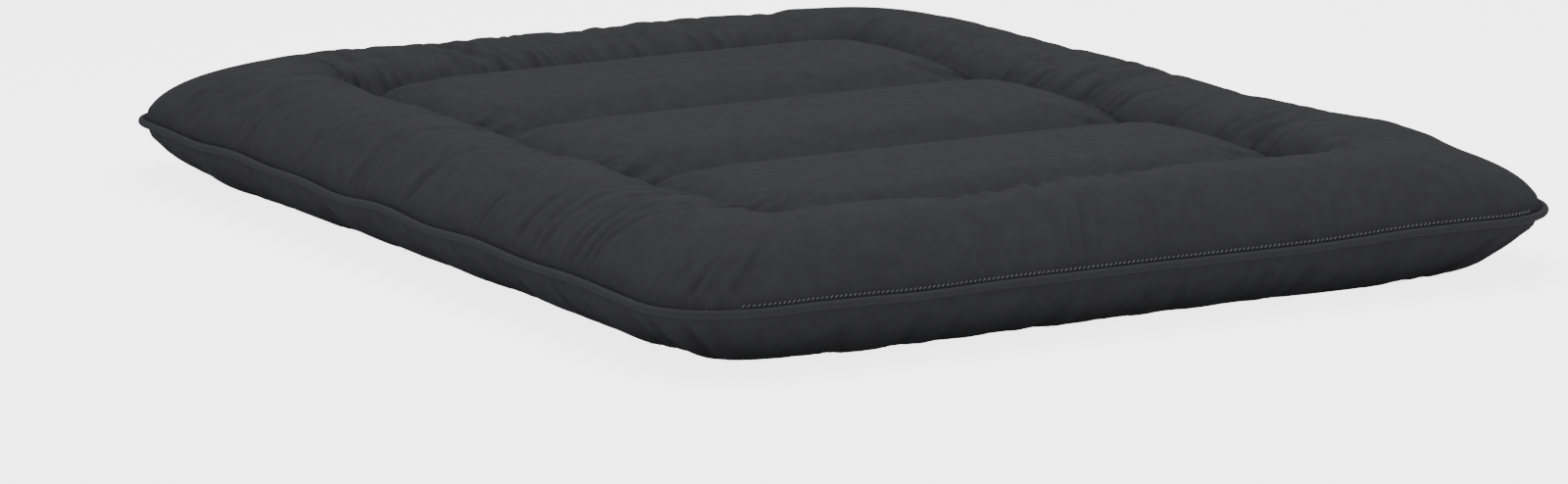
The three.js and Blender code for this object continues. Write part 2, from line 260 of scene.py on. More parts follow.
class QuiltGrid:
    """A plan of the mattress as rows and columns that follow its creases and its rounded outline.

    The centre is a plain grid with lines on every crease. Round it run rings, each a rounded rectangle.
    across is the share of the border's width, from 0 at the crease to 1 at the outline, and run is the
    length travelled round the border. Both are 0 inside the centre.
    """

    def __init__(self, spacing, inset=0.0, finer=1):
        self.columns = finer * even(2 * CREASE_X / spacing)
        self.band_rows = finer * even(2 * CROSS_Y / spacing)
        self.rows = 3 * self.band_rows
        self.rings = finer * even(BORDER / spacing)
        i, j = np.meshgrid(
            np.arange(-self.rings, self.columns + self.rings + 1),
            np.arange(-self.rings, self.rows + self.rings + 1),
        )
        a = np.maximum(np.maximum(-i, i - self.columns), 0)
        b = np.maximum(np.maximum(-j, j - self.rows), 0)
        ring = np.maximum(a, b)
        side_x = np.where(2 * i < self.columns, -1, 1)
        side_y = np.where(2 * j < self.rows, -1, 1)

        creases = (-CREASE_Y, -CROSS_Y, CROSS_Y, CREASE_Y)
        lines_x = np.linspace(-CREASE_X, CREASE_X, self.columns + 1)
        parts = [np.linspace(p, q, self.band_rows + 1)[:-1] for p, q in zip(creases, creases[1:])]
        lines_y = np.append(np.concatenate(parts), CREASE_Y)
        x = lines_x[np.clip(i, 0, self.columns)]
        y = lines_y[np.clip(j, 0, self.rows)]

        share = ring / self.rings
        share = share + 0.06 * np.sin(2 * np.pi * share) * (share > 0.5)  # finer beside the piping
        width = share * (BORDER - inset)
        radius = np.maximum(share * (CORNER_RADIUS - inset), 1e-9)
        turn = np.where(a == ring, b, 2 * ring - a) / np.maximum(2 * ring, 1)  # round a corner, 0 to 1
        straight = width - radius
        quarter = radius * np.pi / 2
        path = turn * (2 * straight + quarter)
        angle = np.clip((path - straight) / radius, 0, np.pi / 2)
        past = path > straight + quarter
        off_x = np.where(past, 2 * straight + quarter - path, straight + radius * np.cos(angle))
        off_y = np.where(path < straight, path, straight + radius * np.sin(angle))
        corner = (a > 0) & (b > 0)
        off_x = np.where(corner, off_x, np.where(a > 0, width, 0))
        off_y = np.where(corner, off_y, np.where(b > 0, width, 0))

        self.x = x + side_x * off_x
        self.y = y + side_y * off_y
        self.across = share
        self.ring = ring
        self.cornering = np.where(corner, 4 * turn * (1 - turn), 0.0)
        self.run = self._run(a, b, corner, turn, x, y, side_x, side_y)
        self.in_centre = ring == 0
        on_side = (i == 0) | (i == self.columns)
        on_row = (j % self.band_rows == 0) & (ring == 0)
        self.crease = (ring == 0) & (on_side | on_row)
        self.outline = ring == self.rings
        self._bow_creases()

    @staticmethod
    def _run(a, b, corner, turn, x, y, side_x, side_y):
        """Length travelled anticlockwise round the border, from the foot end's left crease."""
        end, side = 2 * CREASE_X, 2 * CREASE_Y
        starts = np.cumsum([0, end, CORNER_RUN, side, CORNER_RUN, end, CORNER_RUN, side])
        foot, head = (b > 0) & (side_y < 0), (b > 0) & (side_y > 0)
        right, left = (a > 0) & (side_x > 0), a > 0
        run = np.zeros_like(x)
        run = np.where(left, starts[6] + CREASE_Y - y, run)
        run = np.where(right, starts[2] + CREASE_Y + y, run)
        run = np.where(head, starts[4] + CREASE_X - x, run)
        run = np.where(foot, starts[0] + CREASE_X + x, run)
        run = np.where(corner & foot & right, starts[1] + (1 - turn) * CORNER_RUN, run)
        run = np.where(corner & head & right, starts[3] + turn * CORNER_RUN, run)
        run = np.where(corner & head & (side_x < 0), starts[5] + (1 - turn) * CORNER_RUN, run)
        return np.where(corner & foot & (side_x < 0), starts[7] + turn * CORNER_RUN, run)

    def _bow_creases(self):
        """Pushes the side creases out between the pits, where the bands' ends bulge."""
        beside = bump((np.abs(self.x) - CREASE_X) / BESIDE_CREASE)
        self.side_crease = CREASE_X + crease_bow(self.y)
        self.x += np.sign(self.x) * beside * crease_bow(self.y)


def between_pits(y):
    """1 level with a band's middle, and 0 at the creases beside it and past the centre panel."""
    return np.abs(np.cos(np.pi * np.clip(np.abs(y), 0, CREASE_Y) / (2 * CROSS_Y)))


def crease_bow(y):
    """How far the side creases bow outwards."""
    return CREASE_BOW * between_pits(y) ** 0.7


LOOP = 4 * (CREASE_X + CREASE_Y + CORNER_RUN)  # the whole run round the border


def seam_height(grid):
    """The piped seam's height: it hangs a little low and wavers all round, as the gathers pull on it."""
    return SEAM_Z - SEAM_SAG + SEAM_WAVER * wander(grid.run, LOOP, 7, 24, seed=3)


def crease_height(grid):
    """The stitched creases' height, with a pit wherever two of them meet."""
    beside = bump((np.abs(grid.x) - CREASE_X) / CREASE_RISE_REACH)
    height = CREASE_Z + CREASE_RISE * between_pits(grid.y) * beside
    for crease_y in (CROSS_Y, CREASE_Y):
        far = np.hypot(np.abs(grid.x) - CREASE_X, np.abs(grid.y) - crease_y)
        height = height - PIT_DEPTH * bump(far / PIT_REACH)
    return height


def band_distance(y):
    """Distance from the nearest crease that runs across."""
    return np.minimum(np.abs(CREASE_Y - np.abs(y)), np.abs(np.abs(y) - CROSS_Y))


def top_surface(grid):
    """Heights of the top cover."""
    crease, rim = crease_height(grid), seam_height(grid)
    crown = CROWN - CROWN_DROP + CROWN_WAVER * wander(grid.run, LOOP, 6, 22, seed=5)
    foot_share = np.clip((-grid.y - CROSS_Y) / BAND, 0, 1)
    left_share = np.clip(-2 * grid.x / CREASE_X - 1, 0, 1)
    crown = crown + np.hypot(FOOT_PUFF * foot_share, LEFT_PUFF * left_share)
    reach = OUTER_REACH + CORNER_REACH * grid.cornering
    outer = rim + (crown - rim) * arch((1 - grid.across) * BORDER / reach)
    inner = crease + (crown - crease) * arch(grid.across * BORDER / INNER_REACH)
    from_end = grid.side_crease - np.abs(grid.x)
    rise = arch(from_end / BAND_END_REACH) * arch(band_distance(grid.y) / BAND_REACH)
    lofted = crease + (CROWN - CROWN_DROP - BAND_DROP - crease) * np.where(grid.crease, 0, rise)
    return np.where(grid.in_centre, lofted, np.minimum(outer, inner))


def underside_surface(grid):
    """Heights of the bottom cover, flat on the floor between its shallow creases."""
    rim = seam_height(grid)
    in_panel = np.minimum(grid.side_crease - np.abs(grid.x), band_distance(grid.y))
    away = np.where(grid.in_centre, in_panel, grid.across * BORDER)
    groove = GROOVE_DEPTH * (1 - arch(away / GROOVE_REACH))
    reach = BELLY_REACH + CORNER_REACH * grid.cornering
    belly = rim * (1 - arch((1 - grid.across) * BORDER / reach))
    return np.maximum(groove, belly)


# ---------------------------------------------------------------- gathers


def furrows(along, away, span, clusters, length, width, depth, seed, loop=None, slant=0.0):
    """Depth of the furrows that run away from a seam, where the cloth is gathered into it.

    along and away place every point beside the seam. Furrows come in clusters of a few that run side by
    side, each a tuck with a low ridge on one side of it. loop is the length of a seam that closes on itself,
    and slant is how far the furrows lean along the seam as they run away from it.
    """
    rng = np.random.default_rng(seed)
    total = np.zeros_like(along)
    for n in range(clusters):
        place = span[0] + (span[1] - span[0]) * (n + rng.uniform(0.0, 1.0)) / clusters
        lean, curl = slant + rng.normal(0, 0.12), rng.normal(0, 0.7)
        reach = length * rng.uniform(0.55, 1.1)
        ridge_side = rng.choice((-1, 1))
        for _ in range(rng.integers(1, 5)):
            place += width * rng.uniform(2.6, 5.5)
            slim = width * rng.uniform(0.7, 1.3)
            deep = depth * rng.uniform(0.35, 1.0)
            ended = reach * rng.uniform(0.75, 1.1)
            offset = along - place - lean * away - curl * away * away
            if loop:
                offset = (offset + loop / 2) % loop - loop / 2
            across = offset / (slim * (0.75 + 0.8 * np.clip(away / ended, 0, 1)))
            fade = np.clip(1 - away / ended, 0, 1) ** 0.7 * np.clip(away / 0.012, 0, 1)
            ridge = np.exp(-0.5 * ((across - 2.6 * ridge_side) / 1.3) ** 2)
            tuck = np.exp(-0.5 * across**2) - 0.35 * ridge
            total += deep * fade * tuck
    return total


def cover_furrows(grid, depth):
    """How deep the gathers are at each point of a top cover."""
    border = ~grid.in_centre
    from_crease = np.where(border, grid.across * BORDER, FAR_AWAY)
    from_piping = np.where(border, (1 - grid.across) * BORDER, FAR_AWAY)
    end, side = 2 * CREASE_X, 2 * CREASE_Y
    right = (end + CORNER_RUN, end + CORNER_RUN + side)
    left = (LOOP - CORNER_RUN - side, LOOP - CORNER_RUN)
    head = (end + 2 * CORNER_RUN + side, 2 * end + 2 * CORNER_RUN + side)
    left_to_corner = (left[0] - 0.2 * CORNER_RUN, left[1] + 0.35 * CORNER_RUN)
    foot_middle = (0.10 * end, 0.62 * end)
    foot_right = (0.68 * end, 1.10 * end)
    at_foot = bump((grid.y + OUT_Y) / BORDER) * border
    slant = FOOT_SLANT * at_foot
    # Long folds and fine gathers run out from the crease, and the last group hangs from the piping. Each has
    # a length, a width, a share of the depth, its first seed, its lean and how many clusters a stretch holds.
    stretches = (left_to_corner, right, head, foot_middle, foot_right)
    groups = (
        (0.32, 0.0085, 1.0, 20, -1, (9, 9, 6, 6)),
        (0.17, 0.0055, 0.65, 24, -1, (6, 14, 22, 7, 4)),
        (0.22, 0.0060, 0.7, 34, 1, (9, 8, 8, 8, 2)),
    )
    total = np.zeros_like(grid.x)
    for reach, width, share, seed, lean, counts in groups:
        away = from_crease if lean < 0 else from_piping
        for n, (span, clusters) in enumerate(zip(stretches, counts)):
            shape = (reach, width, share * depth, seed + n, LOOP, lean * slant)
            total += furrows(grid.run, away, span, clusters, *shape)
    total *= 1 - FOOT_CALM * at_foot
    # The pinched cloth at each pit, and the short gathers along the creases that run across.
    creases = (-CREASE_Y, -CROSS_Y, CROSS_Y, CREASE_Y)
    pinch = {"clusters": 3, "length": 0.10, "width": 0.0065, "depth": 0.8 * depth}
    crimp = {"clusters": 11, "length": 0.05, "width": 0.0065, "depth": 0.25 * depth}
    for n, (_, side_x) in enumerate(SIDES):
        inwards = np.where(grid.in_centre, CREASE_X - side_x * grid.x, FAR_AWAY)
        for m, pit in enumerate(creases):
            total += furrows(grid.y, inwards, (pit - 0.07, pit + 0.05), seed=44 + 4 * n + m, **pinch)
    for n, crease_y in enumerate(creases):
        off = np.where(grid.in_centre, np.abs(grid.y - crease_y), FAR_AWAY)
        total += furrows(grid.x, off, (-CREASE_X, CREASE_X), seed=54 + n, **crimp)
    most = 1.7 * depth  # where several gathers cross
    return np.where(grid.crease | grid.outline, 0, most * np.tanh(total / most))


def underside_furrows(grid, depth):
    """How deep the gathers are at each point of a bottom cover, which hang from the piping."""
    from_piping = np.where(grid.in_centre, FAR_AWAY, (1 - grid.across) * BORDER)
    hung = {"clusters": 44, "length": 0.13, "width": 0.0080, "depth": 0.6 * depth}
    total = furrows(grid.run, from_piping, (0, LOOP), seed=60, loop=LOOP, **hung)
    return np.where(grid.outline, 0, total)


def grid_normals(points):
    """Unit normals of a grid of points, on the side that faces up."""
    along_row = np.gradient(points, axis=1)
    along_column = np.gradient(points, axis=0)
    normals = np.cross(along_row, along_column)
    return normals / np.maximum(np.linalg.norm(normals, axis=2, keepdims=True), 1e-12)


# ---------------------------------------------------------------- meshes


def grid_faces(rows, columns, flip=False):
    """Four-sided faces of a grid of points, facing up unless flipped."""
    corner = (np.arange(rows - 1)[:, None] * columns + np.arange(columns - 1)).ravel()
    order = (0, columns, columns + 1, 1) if flip else (0, 1, columns + 1, columns)
    return np.stack([corner + step for step in order], axis=1)


def shell_faces(rows, columns, flip=False):
    """Faces of a closed shell whose two sides are grids of points, the upper or front one first."""
    count = rows * columns
    index = np.arange(count).reshape(rows, columns)
    rim = np.concatenate([index[0], index[1:, -1], index[-1, -2::-1], index[-2:0:-1, 0]])
    after = np.roll(rim, -1)
    walls = np.stack([rim + count, after + count, after, rim], axis=1)
    walls = walls[:, ::-1] if flip else walls
    near, far = grid_faces(rows, columns, flip), grid_faces(rows, columns, not flip)
    return np.concatenate([near, far + count, walls])


def new_piece(name, points, faces, finish):
    """A smooth-shaded mesh object."""
    mesh = bpy.data.meshes.new(name)
    mesh.from_pydata(np.asarray(points).reshape(-1, 3).tolist(), [], np.asarray(faces).tolist())
    mesh.validate()
    mesh.shade_smooth()
    if finish:
        mesh.materials.append(finish)
    piece = bpy.data.objects.new(name, mesh)
    bpy.context.scene.collection.objects.link(piece)
    return piece


def vertex_places(mesh):
    """The places of a mesh's vertices, one row each."""
    places = np.empty(len(mesh.vertices) * 3, np.float32)
    mesh.vertices.foreach_get("co", places)
    return places.reshape(-1, 3).astype(float)


def plain_mesh(piece):
    """Replaces a piece's mesh by what its modifiers make of it, and drops them."""
    made = bpy.data.meshes.new_from_object(piece.evaluated_get(bpy.context.evaluated_depsgraph_get()))
    piece.modifiers.clear()
    old, piece.data = piece.data, made
    bpy.data.meshes.remove(old)
    return piece


def cloth_uv(mesh, uv):
    """Lays the cloth out flat: uv holds each vertex's place on it, in metres."""
    layer = mesh.uv_layers.new(name="cloth")
    corners = np.empty(len(mesh.loops), np.int32)
    mesh.loops.foreach_get("vertex_index", corners)
    layer.data.foreach_set("uv", np.asarray(uv, np.float32).reshape(-1, 2)[corners].ravel())


def laid_flat(points):
    """Each grid point's place on the cloth, measured along rows and columns from the middle ones."""

    def lengths(axis):
        steps = np.linalg.norm(np.diff(points, axis=axis), axis=2)
        total = np.cumsum(steps, axis=axis)
        total = np.insert(total, 0, 0, axis=axis)
        return total - np.take(total, [total.shape[axis] // 2], axis=axis)

    return np.stack([lengths(1), lengths(0)], axis=2)


def inflate(points, pinned, faces, settings):
    """How far a simulation moves each point of a grid of cloth when it is blown up between its seams."""
    scene = bpy.context.scene
    piece = new_piece("cloth_at_rest", points, faces, None)
    group = piece.vertex_groups.new(name="seams")
    group.add(np.flatnonzero(pinned).tolist(), 1.0, "REPLACE")
    cloth = piece.modifiers.new("Cloth", "CLOTH")
    cloth.settings.quality = 5
    cloth.settings.mass = 0.3
    cloth.settings.air_damping = 2.0
    cloth.settings.tension_stiffness = 18
    cloth.settings.compression_stiffness = 6
    cloth.settings.shear_stiffness = 4
    cloth.settings.bending_stiffness = 0.04
    cloth.settings.vertex_group_mass = group.name
    cloth.settings.use_pressure = True
    cloth.settings.uniform_pressure_force = settings.pressure
    cloth.settings.effector_weights.gravity = 0
    cloth.collision_settings.use_collision = False
    cloth.point_cache.frame_start, cloth.point_cache.frame_end = 1, settings.frames
    for step in range(1, settings.frames + 1):
        scene.frame_set(step)
    settled = piece.evaluated_get(bpy.context.evaluated_depsgraph_get())
    moved = vertex_places(settled.data).reshape(points.shape) - points
    scene.frame_set(1)
    piece.modifiers.clear()
    bpy.data.objects.remove(piece)
    far = np.linalg.norm(moved, axis=2, keepdims=True)
    return moved * settings.most_moved * np.tanh(far / settings.most_moved) / np.maximum(far, 1e-9)


def doubled(values):
    """A grid of values with one more between each two, on a smooth curve through its four neighbours."""
    for axis in (0, 1):
        values = np.moveaxis(values, axis, 0)
        ends = np.concatenate([values[:1], values, values[-1:]])
        between = (9 * (ends[1:-2] + ends[2:-1]) - ends[:-3] - ends[3:]) / 16
        woven = np.empty((2 * len(values) - 1, *values.shape[1:]))
        woven[::2], woven[1::2] = values, between
        values = np.moveaxis(woven, 0, axis)
    return values


def bend(pieces):
    """Bakes the foot and head halves of one kind of piece into their places in the world."""
    for piece, (end, side) in zip(pieces, ENDS):
        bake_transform(piece)


# ---------------------------------------------------------------- materials


def add_node(tree, kind, links=(), **settings):
    """Adds a node. Its settings go by attribute or input name, its links are (input, socket or value)."""
    node = tree.nodes.new(kind)
    for key, value in settings.items():
        if hasattr(node, key):
            setattr(node, key, value)
    for key, value in settings.items():
        label = key.replace("_", " ")
        match = [s for s in node.inputs if s.name.lower() == label.lower() and s.enabled]
        if match and not hasattr(node, key):
            match[0].default_value = value
    for key, value in links:
        if isinstance(value, bpy.types.NodeSocket):
            tree.links.new(value, node.inputs[key])
        else:
            node.inputs[key].default_value = value
    return node


def new_material(name, colour, roughness, sheen=0.0):
    """A cloth-like material without gloss, its tree and its shader."""
    material = bpy.data.materials.new(name)
    material.use_nodes = True
    shader = material.node_tree.nodes["Principled BSDF"]
    shader.inputs["Base Color"].default_value = linear(colour)
    shader.inputs["Roughness"].default_value = roughness
    shader.inputs["Sheen Weight"].default_value = sheen
    shader.inputs["Sheen Roughness"].default_value = 0.45
    shader.inputs["Specular IOR Level"].default_value = 0.0
    return material, material.node_tree, shader


def worked(tree, shader, tone, dark, light, height, strength, distance):
    """Colours a shader between two hex values by one pattern and raises another on it in relief."""
    ramp = add_node(tree, "ShaderNodeValToRGB", [("Fac", tone)])
    ramp.color_ramp.elements[0].color = linear(dark)
    ramp.color_ramp.elements[1].color = linear(light)
    tree.links.new(ramp.outputs["Color"], shader.inputs["Base Color"])
    relief = add_node(tree, "ShaderNodeBump", [("Height", height)], strength=strength, distance=distance)
    tree.links.new(relief.outputs["Normal"], shader.inputs["Normal"])
    return ramp


def shade(value, factor):
    """A hex value made lighter or darker."""
    return "#" + "".join(f"{min(255, round(int(value[i : i + 2], 16) * factor)):02X}" for i in (1, 3, 5))


def brushed_microfibre(colour):
    """Peach-skin microfibre: a close plain weave of polyester, brushed so that its nap hides the weave.

    The eye sees a matt, slightly cloudy charcoal, paler where the nap lies another way, and a fine grain.
    """
    material, tree, shader = new_material("ticking_brushed_microfibre", colour, 0.9, sheen=0.02)
    flat = add_node(tree, "ShaderNodeUVMap", uv_map="cloth").outputs["UV"]
    solid = add_node(tree, "ShaderNodeTexCoord").outputs["Object"]
    # The nap's cloudy patches, 20 to 40 mm across.
    patches = {"scale": 34.0, "detail": 3.0, "roughness": 0.6}
    nap = add_node(tree, "ShaderNodeTexNoise", [("Vector", solid)], **patches).outputs["Fac"]
    # The grain that the brushed yarns leave, 1.6 mm across: drawn four times too coarse, to show at all.
    fine = {"scale": 620.0, "detail": 2.0, "roughness": 0.7}
    grain = add_node(tree, "ShaderNodeTexNoise", [("Vector", flat)], **fine).outputs["Fac"]
    # The weave's yarns, 0.5 mm apart in the cloth and drawn 4.5 mm apart, for the same reason.
    yarns = {"scale": 70.0, "distortion": 1.2, "detail": 2.0}
    warp, weft = (
        add_node(tree, "ShaderNodeTexWave", [("Vector", flat)], bands_direction=way, **yarns).outputs["Fac"]
        for way in "XY"
    )
    weave = add_node(tree, "ShaderNodeMath", [(0, warp), (1, weft)], operation="MULTIPLY").outputs[0]
    sums = {"operation": "MULTIPLY_ADD"}
    speckle = add_node(tree, "ShaderNodeMath", [(0, grain), (1, 0.45), (2, nap)], **sums).outputs[0]
    height = add_node(tree, "ShaderNodeMath", [(0, weave), (1, 0.5), (2, grain)], **sums).outputs[0]
    dark, light = shade(colour, 0.94), shade(colour, 1.06)
    ramp = worked(tree, shader, speckle, dark, light, height, 0.22, 0.0006)
    ramp.color_ramp.elements[0].position, ramp.color_ramp.elements[1].position = 0.45, 0.98
    return material


def piping_cloth(colour):
    """The same microfibre cut on the bias and wrapped over a cord: its yarns slant round the rib."""
    material, tree, shader = new_material("piping_bias_cut_microfibre", colour, 0.85, sheen=0.03)
    solid = add_node(tree, "ShaderNodeTexCoord").outputs["Object"]
    grain = add_node(tree, "ShaderNodeTexNoise", [("Vector", solid)], scale=500.0, detail=2.0)
    yarns = {"bands_direction": "DIAGONAL", "scale": 110.0, "distortion": 0.8}
    slant = add_node(tree, "ShaderNodeTexWave", [("Vector", solid)], **yarns)
    dark, light = shade(colour, 0.88), shade(colour, 1.10)
    worked(tree, shader, grain.outputs["Fac"], dark, light, slant.outputs["Fac"], 0.25, 0.0006)
    return material


def carded_wadding(colour):
    """Cotton and polyester wadding, carded and layered: a soft off-white with a tangle of fibres."""
    material, tree, shader = new_material("filling_carded_wadding", colour, 0.95, sheen=0.3)
    solid = add_node(tree, "ShaderNodeTexCoord").outputs["Object"]
    fibres = {"scale": 160.0, "detail": 6.0, "roughness": 0.7, "distortion": 1.5}
    tangle = add_node(tree, "ShaderNodeTexNoise", [("Vector", solid)], **fibres)
    dark, light = shade(colour, 0.86), shade(colour, 1.04)
    worked(tree, shader, tangle.outputs["Fac"], dark, light, tangle.outputs["Fac"], 0.6, 0.003)
    return material


def unbleached_calico(colour):
    """Calico, a plain-woven unbleached cotton: cream, with darker flecks of seed husk."""
    material, tree, shader = new_material("baffle_unbleached_calico", colour, 0.9)
    solid = add_node(tree, "ShaderNodeTexCoord").outputs["Object"]
    # Yarns 0.6 mm apart in the cloth, drawn 3.5 mm apart so that they show.
    plain = {"bands_direction": "Z", "scale": 90.0, "distortion": 1.0}
    yarns = add_node(tree, "ShaderNodeTexWave", [("Vector", solid)], **plain)
    flecks = add_node(tree, "ShaderNodeTexNoise", [("Vector", solid)], scale=300.0, detail=3.0)
    dark, light = shade(colour, 0.80), shade(colour, 1.05)
    worked(tree, shader, flecks.outputs["Fac"], dark, light, yarns.outputs["Fac"], 0.4, 0.0005)
    return material


def spun_thread(name, colour):
    """Spun polyester sewing thread: a faint lustre on tight twisted strands."""
    material, tree, shader = new_material(name, colour, 0.55)
    solid = add_node(tree, "ShaderNodeTexCoord").outputs["Object"]
    twist = {"bands_direction": "DIAGONAL", "scale": 400.0, "distortion": 0.5}
    strands = add_node(tree, "ShaderNodeTexWave", [("Vector", solid)], **twist)
    dark, light = shade(colour, 0.80), shade(colour, 1.15)
    worked(tree, shader, strands.outputs["Fac"], dark, light, strands.outputs["Fac"], 0.3, 0.0003)
    return material


def seamless_paper(colour):
    """A roll of matt white studio paper, lit so that it looks white and throws a little light back up."""
    material, tree, shader = new_material("studio_seamless_paper", colour, 0.95)
    seen = add_node(tree, "ShaderNodeLightPath").outputs["Is Camera Ray"]
    parts = [(0, seen), (1, PAPER_SEEN), (2, PAPER_BOUNCE)]
    glow = add_node(tree, "ShaderNodeMath", parts, operation="MULTIPLY_ADD")
    shader.inputs["Emission Color"].default_value = (1, 1, 1, 1)
    tree.links.new(glow.outputs["Value"], shader.inputs["Emission Strength"])
    return material


_MADE = {}


def material(maker, *arguments):
    """A material that is made once and then shared."""
    key = maker.__name__ + "".join(arguments)
    if key not in _MADE:
        _MADE[key] = maker(*arguments)
    return _MADE[key]


# ---------------------------------------------------------------- covers


def quilted(grid, surface, gathers, depth, facing):
    """Points of a cover with its furrows pressed in. facing is 1 for the top cover and -1 for the bottom."""
    points = np.dstack([grid.x, grid.y, surface(grid)])
    return points - facing * grid_normals(points) * gathers(grid, depth)[:, :, None]


def cover(name, surface, gathers, settings, facing):
    """One of the two panels of the casing, as its foot and head halves. facing is as for quilted."""
    spacing = settings.grid if facing > 0 else UNDERSIDE_COARSER * settings.grid
    fine = QuiltGrid(spacing, finer=2)
    points = quilted(fine, surface, gathers, settings.furrow_depth, facing)
    rest = QuiltGrid(spacing)
    start = quilted(rest, surface, gathers, START_DEPTH * settings.furrow_depth, facing)
    faces = grid_faces(*rest.x.shape, flip=facing < 0)
    points += doubled(inflate(start, (rest.crease | rest.outline).ravel(), faces, settings))
    points[:, :, 2] = np.maximum(points[:, :, 2], 0)
    normals = facing * grid_normals(points)
    flat = laid_flat(points)
    half = fine.rings + fine.rows // 2
    ticking = material(brushed_microfibre, settings.colour)
    pieces = []
    for (end, _), rows in zip(ENDS, (slice(None, half + 1), slice(half, None))):
        faces = grid_faces(*fine.x[rows].shape, flip=facing < 0)
        piece = new_piece(f"{name}_{end}_half", points[rows], faces, ticking)
        cloth_uv(piece.data, flat[rows])
        piece.data.normals_split_custom_set_from_vertices(normals[rows].reshape(-1, 3).tolist())
        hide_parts(f"{name}_{end}", f"{name}_middle")
        pieces.append(piece)
    bend(pieces)


class FUTON_OT_top_cover(bpy.types.Operator):
    """Make the top panel of the casing, gathered into its creases and its piped seam"""

    bl_idname = "futon.top_cover"
    bl_label = "Top Cover"

    def execute(self, context):
        cover("top_cover", top_surface, cover_furrows, context.scene.futon_cover, facing=1)
        return {"FINISHED"}


class FUTON_OT_bottom_cover(bpy.types.Operator):
    """Make the bottom panel of the casing, flat on the floor and rounded up to the piped seam"""

    bl_idname = "futon.bottom_cover"
    bl_label = "Bottom Cover"

    def execute(self, context):
        cover("bottom_cover", underside_surface, underside_furrows, context.scene.futon_cover, facing=-1)
        return {"FINISHED"}


# ---------------------------------------------------------------- filling


def block(name, grid, rows, columns, settings):
    """A closed body of wadding on a block of the grid's rows and columns."""
    lumps = wander(grid.x + 0.37 * grid.y, 0.5, 3, 9, seed=8) * wander(grid.y, 0.5, 3, 9, seed=9)
    upper = np.dstack([grid.x, grid.y, top_surface(grid)])
    lower = np.dstack([grid.x, grid.y, underside_surface(grid)])
    upper -= grid_normals(upper) * (settings.inset + settings.lumps * (1 + lumps))[:, :, None]
    lower += grid_normals(lower) * settings.inset
    close = np.maximum(lower[:, :, 2] + THINNEST_WADDING - upper[:, :, 2], 0) / 2
    upper[:, :, 2] += close
    lower[:, :, 2] -= close
    sides = np.stack([upper[rows, columns], lower[rows, columns]])
    piece = new_piece(name, sides, shell_faces(*sides.shape[1:3]), material(carded_wadding, settings.colour))
    return piece


class FUTON_OT_filling(bpy.types.Operator):
    """Fill every chamber of the casing with wadding"""

    bl_idname = "futon.filling"
    bl_label = "Filling"

    def execute(self, context):
        settings = context.scene.futon_filling
        grid = QuiltGrid(settings.grid, inset=settings.inset)
        rings, band, last = grid.rings, grid.band_rows, grid.rows + grid.rings
        centre = slice(rings + 1, rings + grid.columns)
        half = rings + grid.rows // 2
        border = {"left": slice(0, rings), "right": slice(rings + grid.columns + 1, None)}
        lengths = {"foot": slice(rings, half + 1), "head": slice(half, last + 1)}
        outer = {"foot": slice(0, rings), "head": slice(last + 1, None)}
        bands = {"foot": slice(rings + 1, rings + band), "head": slice(last - band + 1, last)}
        for end, _ in ENDS:
            roll = block(f"wadding_roll_{end}", grid, outer[end], slice(None), settings)
            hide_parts(f"border_fill_{end}")
            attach(roll, end)
        for hand, _ in SIDES:
            rolls = []
            for end, _ in ENDS:
                roll = block(f"wadding_roll_{hand}_{end}_half", grid, lengths[end], border[hand], settings)
                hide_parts(f"border_fill_{hand}_{end}", f"border_fill_{hand}_middle")
                rolls.append(roll)
            bend(rolls)
        loft = []
        for end, _ in ENDS:
            wadding = block(f"wadding_band_{end}", grid, bands[end], centre, settings)
            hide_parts(f"band_fill_{end}", f"band_fill_{end}_inner")
            loft.append(wadding)
        bend(loft)
        centre_band = slice(rings + band + 1, rings + 2 * band)
        wadding = block("wadding_band_middle", grid, centre_band, centre, settings)
        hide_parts("band_fill_middle")
        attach(wadding, "middle")
        return {"FINISHED"}


# ---------------------------------------------------------------- baffles


def baffle(name, start, end, calico):
    """An upright strip of cloth between two plan points, a little ruffled between its sewn edges."""
    start, end = np.array(start), np.array(end)
    length = np.linalg.norm(end - start)
    columns = even(length / BAFFLE_GRID) + 1
    low, high = GROOVE_DEPTH + SEWN_ROOM, CREASE_Z - PIT_DEPTH - SEWN_ROOM
    s, h = np.meshgrid(np.linspace(0, 1, columns), np.linspace(0, 1, BAFFLE_ROWS))
    normal = np.array([start[1] - end[1], end[0] - start[0]]) / length
    ruffle = BAFFLE_RUFFLE * np.sin(np.pi * h) * wander(s * length, 0.6, 6, 18, seed=11)
    sheets = []
    for side in (1, -1):
        offset = ruffle + side * BAFFLE_THICKNESS / 2
        plan = start + s[:, :, None] * (end - start) + offset[:, :, None] * normal
        if start[0] == end[0]:
            plan[:, :, 0] += np.sign(start[0]) * crease_bow(plan[:, :, 1])
        sheets.append(np.dstack([plan, low + h * (high - low)]))
    piece = new_piece(name, np.stack(sheets), shell_faces(BAFFLE_ROWS, columns, flip=True), calico)
    return piece


